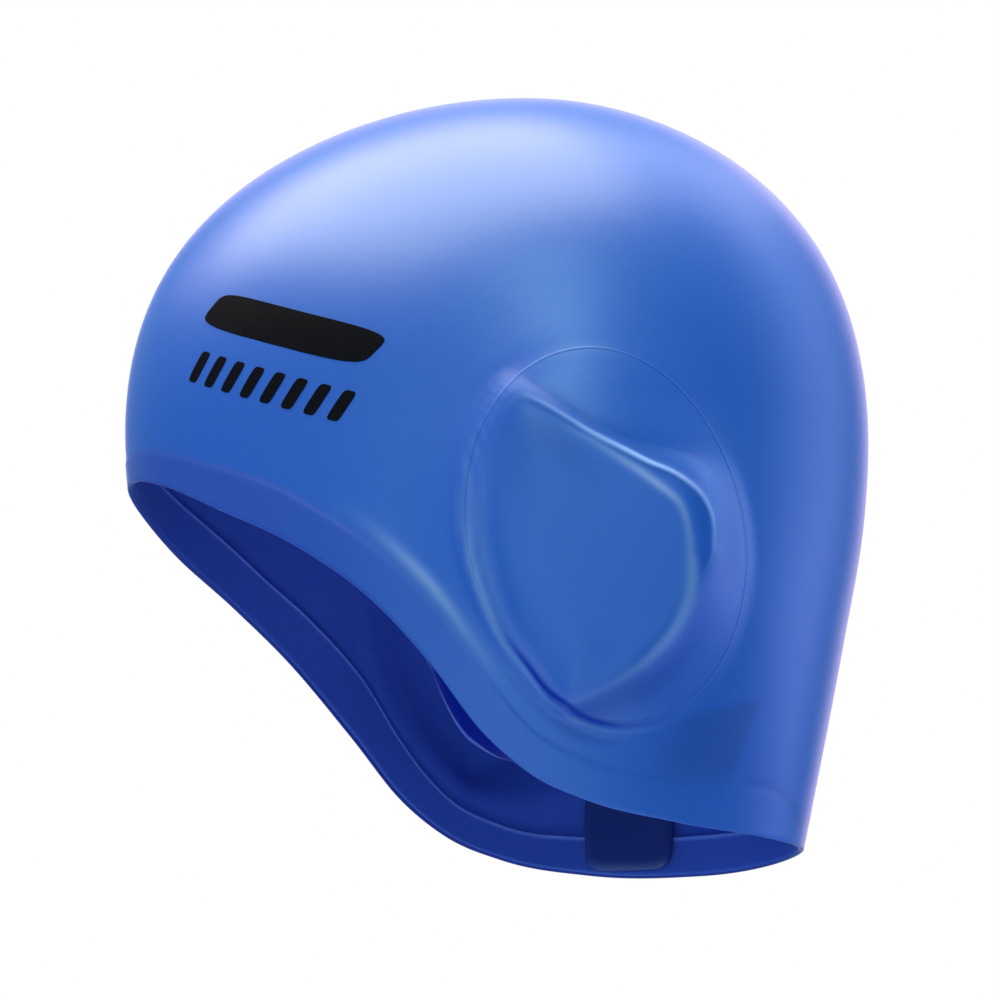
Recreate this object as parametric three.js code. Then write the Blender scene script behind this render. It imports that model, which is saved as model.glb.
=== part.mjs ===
// Swim cap with ear pockets: one moulded silicone shell with a raised pocket over each ear, a thicker
// hem round its rim, and a separate thick pull pad inside the hem behind each ear.
//
// Millimetres, +Z up. The forehead is toward -Y, the nape toward +Y and the wearer's left is +X.
// The origin is the inside of the crown, where the top of the head sits. The cap is in the form
// that it has when worn.
//
// The shell is a surface of two numbers: the angle round the head (0 at the forehead, 90 degrees at
// the left ear, 180 at the nape) and the depth below the crown. Each wall, pocket and pad is laid
// on that surface by moving its points along the normal, and closed by a loft through rings.
import * as THREE from 'three';

// Dome, from the crown down to the widest level
const crownToWidest = 93;
const widestAheadOfCrown = 7;
const crownShiftPower = 2.5; // how late on the way down the dome that shift comes in
const domeFullness = 0.13; // how much squarer than an ellipse the dome is
const foreheadNarrowing = 0.13; // how much narrower the plan is at the forehead than at the nape

// Level sections below the widest level: reach to the forehead, reach to the nape and half width
const levelSections = [
  { below: 0, front: 101, back: 101, half: 78 },
  { below: 25, front: 99, back: 99.3, half: 78.5 },
  { below: 55, front: 97, back: 93.8, half: 77.5 },
  { below: 85, front: 94, back: 88, half: 70.5 },
  { below: 115, front: 91, back: 82, half: 60 },
];

// The rim's depth below the crown: over the brow, down in front of the ear and level at the nape
const rimStations = [
  { angle: 0, depth: 108.5 },
  { angle: 20, depth: 113 },
  { angle: 35, depth: 122 },
  { angle: 50, depth: 133.5 },
  { angle: 62, depth: 148 },
  { angle: 72, depth: 166 },
  { angle: 80, depth: 182.5 },
  { angle: 88, depth: 193 },
  { angle: 98, depth: 199.5 },
  { angle: 115, depth: 204 },
  { angle: 140, depth: 205.5 },
  { angle: 180, depth: 204.5 },
];

// Wall and hem
const wall = 1;
const hemHeight = 12;
const hemStep = 0.8; // height over which the hem's extra thickness comes in
const hemOutside = 0.5;
const hemInside = 0.6;
const rimRounding = 0.6;

// Ear pocket: a leaning oval foot, and a flat face with three curved sides that stands on it.
// Back and up are measured from the middle of the foot.
const pocketBack = 7; // middle of the foot, behind the crown
const pocketDepth = 134; // and below it
const footHalfHeight = 49.5;
const footHalfWidth = 35.5;
const footLean = THREE.MathUtils.degToRad(15); // top toward the forehead
const footMargin = 4; // how far outside its foot line the wall of the pocket starts to climb
const faceSides = [
  { side: 'back', back: -15, up: -3, radius: 37 },
  { side: 'front', back: 32, up: 7, radius: 63.5 },
  { side: 'top', back: -158, up: -345, radius: 400 },
];
const faceCornerSoftness = 1.6;
const faceReach = 88.5; // from the middle plane of the cap out to the middle of the face
const faceLean = 0.03; // the face's top stands a little further out than its foot
const faceDoming = 0.004; // the face falls away by this times its distance from the middle squared
const swellHeight = 6; // soft swelling of the wall round the foot
const swellSpread = 1.35; // its size over the size of the foot

// Pull pads, each a rounded block bent to the wall
const padAngle = THREE.MathUtils.degToRad(124);
const padHalfWidth = 13.5;
const padHalfHeight = 12.5;
const padAboveRim = 1; // its lower edge above the rim
const padThickness = 2.2;
const padBevel = 2.5;
const padSquareness = 6; // exponent of its rounded outline
const clearance = 0.3; // between a pad and the wall behind it

// How finely the surfaces are divided
const columns = 80;
const bodyRows = 30;
const columnCrowding = 0.25; // closer columns at the ears
const rowCrowding = 0.5; // closer rows toward the rim
const crowdedBehindEar = THREE.MathUtils.degToRad(8);
const padRingPoints = 28;
const slopeStep = 0.002; // step for measuring the surface's slope, in radians and in runs
const padMeasuredAtRun = 1.6; // where the radius of the wall behind a pad is measured

// Smooth curve through a table's rows, level at its first row and, when asked, at its last
function readTable(rows, key, column, at, levelEnd) {
  const last = rows.length - 1;
  const chord = (i) => (rows[i + 1][column] - rows[i][column]) / (rows[i + 1][key] - rows[i][key]);
  const slope = (i) => {
    if (i === 0) return 0;
    if (i === last) return levelEnd ? 0 : chord(last - 1);
    const before = rows[i][key] - rows[i - 1][key];
    const after = rows[i + 1][key] - rows[i][key];
    return (chord(i - 1) * after + chord(i) * before) / (before + after);
  };
  let i = 0;
  while (i < last - 1 && at > rows[i + 1][key]) i += 1;
  const span = rows[i + 1][key] - rows[i][key];
  const t = (at - rows[i][key]) / span;
  const t2 = t * t;
  const t3 = t2 * t;
  return (2 * t3 - 3 * t2 + 1) * rows[i][column] + (t3 - 2 * t2 + t) * span * slope(i)
    + (3 * t2 - 2 * t3) * rows[i + 1][column] + (t3 - t2) * span * slope(i + 1);
}

// Depth of the rim below the crown at an angle round the head, the same on both sides
function rimDepth(angle) {
  const turned = Math.abs(THREE.MathUtils.euclideanModulo(angle + Math.PI, 2 * Math.PI) - Math.PI);
  return readTable(rimStations, 'angle', 'depth', THREE.MathUtils.radToDeg(turned), true);
}

// Run is the way down the wall, 1 at the widest level; depth is the height lost on that way
const runLength = crownToWidest * Math.PI / 2;
function depthAtRun(run) {
  if (run < 1) return crownToWidest * (1 - Math.cos(run * Math.PI / 2));
  return crownToWidest + (run - 1) * runLength;
}
function runAtDepth(depth) {
  if (depth < crownToWidest) return Math.acos(1 - depth / crownToWidest) * 2 / Math.PI;
  return 1 + (depth - crownToWidest) / runLength;
}

// The head form without pockets: an egg-shaped plan at each depth
function headPoint(angle, run) {
  const depth = depthAtRun(run);
  const rise = run < 1 ? Math.cos(run * Math.PI / 2) : 0;
  const width = run < 1 ? Math.sin(run * Math.PI / 2) : 1;
  const spread = width * (1 + domeFullness * width * width * rise * rise);
  const below = Math.max(depth - crownToWidest, 0);
  const front = readTable(levelSections, 'below', 'front', below);
  const back = readTable(levelSections, 'below', 'back', below);
  const half = readTable(levelSections, 'below', 'half', below);
  const ahead = Math.cos(angle);
  const x = spread * half * Math.sin(angle) * (1 - foreheadNarrowing * ahead);
  const y = -spread * ((front + back) / 2 * ahead + (front - back) / 2 * ahead * ahead)
    - widestAheadOfCrown * (1 - rise ** crownShiftPower);
  return new THREE.Vector3(x, y, wall - depth);
}

// Distance outside the pocket's face outline: the largest of the distances to its three sides,
// blended where two are alike so that the corners are round
function outsideFace(back, up) {
  const sum = faceSides
    .map((s) => Math.hypot(back - s.back, up - s.up) - s.radius)
    .reduce((total, d) => total + Math.exp(d / faceCornerSoftness), 0);
  return faceCornerSoftness * Math.log(sum);
}

// How far out the wall of a pocket stands, given where the plain wall is
function pocketReach(plain, y, z) {
  const back = y - pocketBack;
  const up = z - wall + pocketDepth;
  const along = up * Math.cos(footLean) - back * Math.sin(footLean);
  const across = back * Math.cos(footLean) + up * Math.sin(footLean);
  const oval = Math.hypot(along / footHalfHeight, across / footHalfWidth);
  if (oval > swellSpread) return plain;
  const swollen = plain + swellHeight * (1 - (oval / swellSpread) ** 2) ** 2;
  const insideFoot = (1 - oval) * (footHalfHeight + footHalfWidth) / 2 + footMargin;
  if (insideFoot < 0) return swollen;
  const beyondFace = Math.max(outsideFace(back, up), 0);
  const share = insideFoot / (insideFoot + beyondFace);
  const climb = share * share * (3 - 2 * share);
  const face = faceReach + faceLean * up - faceDoming * (back * back + up * up);
  return THREE.MathUtils.lerp(swollen, face, climb);
}

// Outer surface of the shell with both pockets, before the hem
function shellPoint(angle, run) {
  const point = headPoint(angle, run);
  const side = Math.sign(point.x);
  if (side !== 0) point.x = side * pocketReach(side * point.x, point.y, point.z);
  return point;
}

// Outward normal of that surface, from its slope both ways
function shellNormal(angle, run) {
  const round = shellPoint(angle + slopeStep, run).sub(shellPoint(angle - slopeStep, run));
  const down = shellPoint(angle, run + slopeStep).sub(shellPoint(angle, run - slopeStep));
  return down.cross(round).normalize();
}

// A point at a distance inside the outer surface, or outside it if the distance is negative
function sunkPoint(angle, run, inward) {
  return shellPoint(angle, run).addScaledVector(shellNormal(angle, run), -inward);
}

// Closed solid through rings of points, from one pole to the other
function loftRings(firstPole, rings, lastPole) {
  const count = rings[0].length;
  const points = [firstPole, ...rings.flat(), lastPole];
  const at = (ring, i) => 1 + ring * count + (i % count);
  const faces = [];
  for (let i = 0; i < count; i += 1) {
    faces.push(0, at(0, i), at(0, i + 1));
    for (let ring = 0; ring < rings.length - 1; ring += 1) {
      faces.push(at(ring, i), at(ring + 1, i), at(ring + 1, i + 1));
      faces.push(at(ring, i), at(ring + 1, i + 1), at(ring, i + 1));
    }
    faces.push(points.length - 1, at(rings.length - 1, i + 1), at(rings.length - 1, i));
  }
  const geometry = new THREE.BufferGeometry().setFromPoints(points);
  geometry.setIndex(faces);
  geometry.computeVertexNormals();
  return geometry;
}

// Angles of the columns, crowded at the ears and alike on both sides
function columnAngles() {
  const angles = [];
  for (let i = 0; i < columns; i += 1) {
    const left = i <= columns / 2;
    const even = (left ? i : columns - i) * 2 * Math.PI / columns;
    const shift = Math.sin(2 * (even - crowdedBehindEar)) + Math.sin(2 * crowdedBehindEar);
    const angle = even + columnCrowding * shift;
    angles.push(left ? angle : -angle);
  }
  return angles;
}

// Rows of the shell from the crown to the rim: how far down each is and how much the hem adds
function shellRows() {
  const rows = [];
  for (let i = 1; i <= bodyRows; i += 1) {
    const even = i / bodyRows;
    rows.push({ body: even * (1 + rowCrowding * (1 - even)), hem: 0, thick: 0 });
  }
  rows.push({ body: 1, hem: hemStep, thick: 1 });
  rows.push({ body: 1, hem: hemHeight, thick: 1 });
  return rows;
}

// Run of a row at an angle: a share of the way to the hem, then down the hem
function rowRun(row, angle) {
  const hemTop = rimDepth(angle) - hemHeight;
  if (row.hem === 0) return row.body * runAtDepth(hemTop);
  return runAtDepth(hemTop + row.hem);
}

function makeShell() {
  const angles = columnAngles();
  const rows = shellRows();
  const outer = rows.map((row) => angles.map(
    (angle) => sunkPoint(angle, rowRun(row, angle), -hemOutside * row.thick),
  ));
  const inner = rows.map((row) => angles.map(
    (angle) => sunkPoint(angle, rowRun(row, angle), wall + hemInside * row.thick),
  ));
  const lip = outer[rows.length - 1].map((point, i) => {
    const middle = point.clone().lerp(inner[rows.length - 1][i], 0.5);
    middle.z -= rimRounding;
    return middle;
  });
  const crown = new THREE.Vector3(0, 0, wall);
  const hollowTop = new THREE.Vector3(0, 0, 0);
  return loftRings(crown, [...outer, lip, ...inner.reverse()], hollowTop);
}

// A ring of a pad: its outline shrunk by an inset, bent to the wall at a distance inside it
function padRing(side, inset, inward) {
  const ring = [];
  for (let i = 0; i < padRingPoints; i += 1) {
    const turn = side * i / padRingPoints * 2 * Math.PI;
    const round = (value, power) => Math.sign(value) * Math.abs(value) ** (2 / power);
    const across = (padHalfWidth - inset) * round(Math.cos(turn), padSquareness);
    const up = (padHalfHeight - inset) * round(Math.sin(turn), padSquareness);
    ring.push(padPoint(side, across, up, inward));
  }
  return ring;
}

// A point of a pad, given its place across and up the pad
function padPoint(side, across, up, inward) {
  const before = shellPoint(padAngle - slopeStep, padMeasuredAtRun);
  const after = shellPoint(padAngle + slopeStep, padMeasuredAtRun);
  const radius = before.distanceTo(after) / (2 * slopeStep);
  const angle = padAngle + across / radius;
  const depth = rimDepth(padAngle) - padAboveRim - padHalfHeight - up;
  return sunkPoint(side * angle, runAtDepth(depth), inward);
}

function makePad(side) {
  const back = wall + hemInside + clearance;
  const front = back + padThickness;
  const rings = [
    padRing(side, padHalfHeight / 2, back),
    padRing(side, 0, back),
    padRing(side, 0, front - padThickness / 2),
    padRing(side, padBevel, front),
    padRing(side, padHalfHeight / 2 + padBevel / 2, front),
  ];
  return loftRings(padPoint(side, 0, 0, back), rings, padPoint(side, 0, 0, front));
}

function silicone(colour, roughness) {
  return new THREE.MeshStandardMaterial({ color: colour, roughness, metalness: 0 });
}

function addPiece(group, name, geometry, material) {
  const mesh = new THREE.Mesh(geometry, material);
  mesh.name = name;
  group.add(mesh);
}

const swimCap = new THREE.Group();
addPiece(swimCap, 'cap_shell', makeShell(), silicone(0x2f62bd, 0.42));
addPiece(swimCap, 'pull_pad_left', makePad(1), silicone(0x1c2f74, 0.5));
addPiece(swimCap, 'pull_pad_right', makePad(-1), silicone(0x1c2f74, 0.5));

export default swimCap;
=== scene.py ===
import math
import bpy
import numpy as np
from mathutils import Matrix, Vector


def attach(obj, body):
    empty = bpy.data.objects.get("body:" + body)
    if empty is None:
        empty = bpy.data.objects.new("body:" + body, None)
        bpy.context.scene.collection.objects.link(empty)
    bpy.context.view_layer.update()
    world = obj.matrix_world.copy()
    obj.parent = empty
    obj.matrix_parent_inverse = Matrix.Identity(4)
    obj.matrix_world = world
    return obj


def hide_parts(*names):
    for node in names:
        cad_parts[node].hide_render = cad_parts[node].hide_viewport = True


# Silicone swim cap with ear pockets, dressed over its solids.
# Forms are worked out in millimetres on the same surface as the solids and put down in metres.

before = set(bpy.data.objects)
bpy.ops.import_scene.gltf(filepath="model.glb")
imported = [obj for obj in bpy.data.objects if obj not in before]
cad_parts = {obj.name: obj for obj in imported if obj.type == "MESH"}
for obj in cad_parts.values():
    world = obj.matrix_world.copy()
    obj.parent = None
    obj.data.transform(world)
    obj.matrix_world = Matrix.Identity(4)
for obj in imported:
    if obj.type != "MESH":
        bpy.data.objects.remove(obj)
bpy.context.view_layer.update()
mm = 0.001
scene = bpy.context.scene
print("frame loaded:", sorted(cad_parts))


# camera and studio

studio = {
    "aimAt": (0.0, -0.0062, -0.1089),
    "turnedFromFront": 80.0,    # degrees round from the forehead toward the left ear
    "belowLevel": 10.0,         # degrees that the camera looks up by
    "distance": 2.0,
    "lens": 266.4,
    "sensor": 36.0,
    "seesTo": 20.0,
    "floorHeight": -2.4,
    "floorSize": 12.0,
    "floorColour": (0.86, 0.86, 0.87, 1),
    "floorRoughness": 0.9,
    "floorSeen": (0.93, 0.93, 0.94, 1),     # its even tone to look at
    "worldSeen": 1.0,           # the white that stands behind the cap
    "worldLight": 0.46,         # strength and tint of the light that comes from all round
    "worldTint": (0.16, 0.57, 1.0, 1),
}

softLights = [
    # each box's name, its direction in degrees round from the forehead toward the left ear and above
    # level, its distance from the cap and its two sides in metres, its watts and its colour
    ("top_box", 15, 74, 1.2, (1.4, 1.4), 42.0, (1.0, 0.77, 0.55)),
    ("top_front", 335, 50, 1.3, (0.9, 0.9), 3.7, (1.0, 0.7, 0.78)),
    ("top_back", 200, 60, 1.3, (0.9, 0.9), 5.2, (1.0, 0.88, 0.94)),
    ("camera_fill", 75, -12, 1.6, (1.6, 1.6), 5.2, (0.8, 0.98, 0.96)),
    ("ear_high", 90, 34, 1.4, (0.4, 0.5), 3.2, (0.8, 1.0, 0.84)),
    ("front_low", 0, -25, 1.3, (0.5, 0.9), 1.6, (0.2, 0.2, 1.0)),
    ("back_low", 190, -18, 1.3, (0.6, 1.0), 1.6, (0.4, 0.32, 1.0)),
    ("back_strip", 185, 15, 1.3, (0.9, 1.3), 5.1, (0.61, 0.72, 1.0)),
    ("far_side", 255, 15, 1.3, (1.2, 1.2), 9.4, (1.0, 0.66, 0.82)),
    ("below", 70, -65, 0.65, (0.9, 0.9), 1.4, (0.5, 0.75, 0.9)),
]
lightsFace = (0.0, 0.0, -0.1)


def rayTo(turned, above):
    # unit vector at so many degrees round from the forehead and above level:
    # (sin turn cos lift, -cos turn cos lift, sin lift)
    turn = math.radians(turned)
    lift = math.radians(above)
    return Vector((math.sin(turn) * math.cos(lift), -math.cos(turn) * math.cos(lift), math.sin(lift)))


def standFacing(data, target, ray, distance):
    # an object at target + ray times the distance, turned to look back along the ray
    thing = bpy.data.objects.new(data.name, data)
    thing.location = Vector(target) + ray * distance
    thing.rotation_mode = "QUATERNION"
    thing.rotation_quaternion = (-ray).to_track_quat("-Z", "Y")
    scene.collection.objects.link(thing)
    return thing


def placeCamera(place):
    # the photo's own view
    data = bpy.data.cameras.new("photo_camera")
    data.lens = place["lens"]
    data.sensor_width = place["sensor"]
    data.clip_end = place["seesTo"]
    toCamera = rayTo(place["turnedFromFront"], -place["belowLevel"])
    scene.camera = standFacing(data, place["aimAt"], toCamera, place["distance"])


def placeLight(name, turned, above, away, size, watts, colour):
    # a soft box that faces the cap's middle
    data = bpy.data.lights.new(name, "AREA")
    data.shape = "RECTANGLE"
    data.size = size[0]
    data.size_y = size[1]
    data.energy = watts
    data.color = colour
    standFacing(data, lightsFace, rayTo(turned, above), away)


def linkByRay(tree, lit, seen, out):
    # one shader to look at, and another for every ray but the camera's own
    path = tree.nodes.new("ShaderNodeLightPath")
    mix = tree.nodes.new("ShaderNodeMixShader")
    tree.links.new(path.outputs["Is Camera Ray"], mix.inputs["Fac"])
    tree.links.new(lit.outputs[0], mix.inputs[1])
    tree.links.new(seen.outputs[0], mix.inputs[2])
    tree.links.new(mix.outputs["Shader"], out.inputs["Surface"])


def makeWorld(place):
    # white to look at, and a weaker white to light by
    world = bpy.data.worlds.new("white_studio")
    scene.world = world
    world.use_nodes = True
    tree = world.node_tree
    tree.nodes.clear()
    seen = tree.nodes.new("ShaderNodeBackground")
    lit = tree.nodes.new("ShaderNodeBackground")
    seen.inputs["Strength"].default_value = place["worldSeen"]
    lit.inputs["Strength"].default_value = place["worldLight"]
    seen.inputs["Color"].default_value = (1, 1, 1, 1)
    lit.inputs["Color"].default_value = place["worldTint"]
    linkByRay(tree, lit, seen, tree.nodes.new("ShaderNodeOutputWorld"))


def makeFloor(place):
    # an even pale tone to look at, and a lit matt floor for the light that it throws back
    half = place["floorSize"] / 2
    height = place["floorHeight"]
    mesh = bpy.data.meshes.new("floor")
    corners = [(x * half, y * half, height) for x, y in ((-1, -1), (1, -1), (1, 1), (-1, 1))]
    mesh.from_pydata(corners, [], [(0, 1, 2, 3)])
    floor = bpy.data.objects.new("floor", mesh)
    scene.collection.objects.link(floor)
    material = bpy.data.materials.new("pale_floor")
    material.use_nodes = True
    tree = material.node_tree
    shader = tree.nodes["Principled BSDF"]
    shader.inputs["Base Color"].default_value = place["floorColour"]
    shader.inputs["Roughness"].default_value = place["floorRoughness"]
    seen = tree.nodes.new("ShaderNodeEmission")
    seen.inputs["Color"].default_value = place["floorSeen"]
    linkByRay(tree, shader, seen, tree.nodes["Material Output"])
    mesh.materials.append(material)


scene.view_settings.view_transform = "Standard"
placeCamera(studio)
for light in softLights:
    placeLight(*light)
makeWorld(studio)
makeFloor(studio)
print("studio ready")


# the head form that everything is laid on

headForm = {
    "crownToWidest": 93.0,
    "widestAheadOfCrown": 7.0,
    "aheadPower": 2.5,      # how early that shift comes in below the crown
    "domeFullness": 0.13,
    "foreheadNarrowing": 0.13,
    # level sections below the widest level
    "below": [0, 25, 55, 85, 115],
    "front": [101, 99, 97, 94, 91],
    "back": [101, 99.3, 93.8, 88, 82],
    "half": [78, 78.5, 77.5, 70.5, 60],
    # the rim's depth below the crown, by the angle round from the forehead
    "rimAngle": [0, 20, 35, 50, 62, 72, 80, 88, 98, 115, 140, 180],
    "rimDepth": [108.5, 113, 122, 133.5, 148, 166, 182.5, 193, 199.5, 204, 205.5, 204.5],
}

shell = {
    "wall": 1.0,
    "pocketWall": 1.7,      # behind the pocket, where the inner skin is plainer than the outer
    "pocketWallFrom": 8.0,  # it comes in this far outside the foot line, over this distance
    "pocketWallOver": 6.0,
    "rimRounding": 0.35,
    # the hem outside, by the angle round from the forehead: its height, how far it stands out,
    # and how much of its deeper tone shows
    "outsideAngle": [0, 20, 42, 58, 72, 80, 88, 98, 115, 140, 180],
    "outsideHeight": [8.2, 9.9, 13.4, 14.5, 16.5, 15.5, 11.8, 10.5, 11.2, 12, 12],
    "outsideProud": [0.3, 0.3, 0.3, 0.3, 0.35, 0.4, 0.35, 0.22, 0.12, 0.05, 0.05],
    "outsideTone": [1, 1, 0.9, 0.7, 0.35, 0.2, 0.1, 0, 0, 0, 0],
    "outsideStep": 2.4,     # heights over which its thickness and its tone come in
    "toneStep": 0.6,
    # the hem inside: its height, its thickness and the small bead along its upper edge
    "insideAngle": [0, 20, 38, 48, 58, 65, 71, 76, 80, 84, 89, 98, 115, 140, 180],
    "insideHeight": [12, 14, 16, 16.2, 17, 19.5, 21.5, 21.5, 18, 14.5, 11.5, 10, 10.8, 11.5, 11],
    "hemInside": 0.6,
    "insideStep": 0.8,
    "insideBead": 0.25,
    "beadWidth": 0.6,
    # the left rim is tucked under a little ahead of the ear
    "tuckAngle": [0, 71.2, 72.8, 74.7, 77, 79.5, 83, 85.8, 180],
    "tuckDown": [0, 0, 5.0, 8.0, 8.4, 6.0, 3.2, 0, 0],
    "tuckInward": 2.0,
    "tuckHighlight": 0.6,        # share of the painted highlight line along its lower edge
    # the rim's lip, turned from outside to inside in degrees: where that painted highlight line and the
    # tuck's painted shade begin on it, and the share of the painted shade
    "lipTurns": [30, 60, 90, 120, 150],
    "highlightFrom": 150,
    "shadeFrom": 60,
    "lipShade": 0.9,
    "columns": 344,
    "domeRows": 54,         # outer rows down to pocketFrom of the way, and below it
    "pocketRows": 138,
    "pocketFrom": 0.53,
    "innerDomeRows": 12,
    "innerPocketRows": 34,
    "hemDown": [0.2, 0.4, 0.6, 0.8, 1.1, 1.5, 1.9, 2.4],    # closest rows under the hem's upper edge
    "hemRows": 9,
    "columnCrowding": 0.36,
    "crowdedBehindEar": math.radians(8),
}

# soft shapes of the wall near the rim, outside the pocket; each is a bell about a line
cheekRidge = {
    "angle": 72.0,          # degrees round from the forehead, and how far it reaches each way
    "reach": 8.0,
    "aboveHem": 2.7,        # its line over the hem, its half width and its height
    "width": 3.0,
    "height": 0.9,
    "highlightShare": 1.0,           # share of the painted highlight on its line
}

napeFold = {
    "angle": 128.0,         # it starts here and bends down to the rim this much farther round
    "halfAngle": 30.0,
    "comesIn": 5.0,         # degrees over which it comes in
    "aboveRim": 13.3,       # where it starts, its half width and its depth
    "width": 1.3,
    "depth": 0.05,
    "foldShade": 0.7,          # share of the painted shade on its line
}

earPocket = {
    # its middle: how far back from the crown and how deep below it, and how far out its sides begin
    "back": 7.0,
    "depth": 134.0,
    "sideFrom": 50.0,
    # the foot's oval, where the raised part begins
    "footBack": 1.9,
    "footUp": 2.3,
    "footHalfHeight": 49.0,
    "footHalfWidth": 37.2,
    "footLean": math.radians(13),
    "footMargin": 4.0,      # the rise starts this far outside the foot line
    "footFade": 3.0,        # and the wall and the bead come in over this distance
    # the face's four curved sides (right, lower right, left, top): middle of each arc, and its radius
    "sideBack": [-38, -31, 49.5, -324],
    "sideUp": [-5, 14, 9.4, -482],
    "sideRadius": [60, 61, 78.8, 600],
    "turnBack": -5.0,       # the directions below are taken round this place
    "turnUp": -3.0,
    "faceReach": 86.5,      # from the middle plane, then its slants upward and back, and its doming
    "faceLean": 0.01,
    "faceTurn": 0.035,
    "faceDoming": 0.0012,
    "bendWidth": 13.0,      # how far inside its edge the face begins to bend in
    "bendLimit": 1.3,
    "shoulderFrom": -1.4,   # the shoulder along its edge, and the rounding of its two corners
    "shoulderTo": 1.0,
    "shoulderRound": 0.4,
    "fallPast": 0.5,        # the fall ends this far outside the crest, and the rounding of its start
    "fallRound": 0.5,
    "beadWidth": 0.8,
    "grooveDepth": 0.8,
    "grooveWidth": 1.1,
    "ridgeBeyond": 2.2,     # the low ridge and the second groove, outside the first one and the foot
    "secondDepth": 0.4,
    "secondBeyond": 4.4,
    # half widths of the painted tones: painted shade along the crease and in the corner so far inside
    # the edge, painted highlight on the foot line and painted shade on the reflection about it; and how
    # far outside the foot line all end
    "creaseShade": 2.5,
    "cornerInside": 5.0,
    "cornerShade": 6.0,
    "footHighlightWidth": 1.3,
    "reflectionShadeReach": 4.5,
    "tintsEnd": 8.0,
    # the wall swells out a little above and ahead of the pocket
    "swellHeight": 7.0,
    "swellBack": -5.0,
    "swellUp": 8.0,
    "swellHalfHeight": 64.0,
    "swellHalfWidth": 48.0,
}

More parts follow.
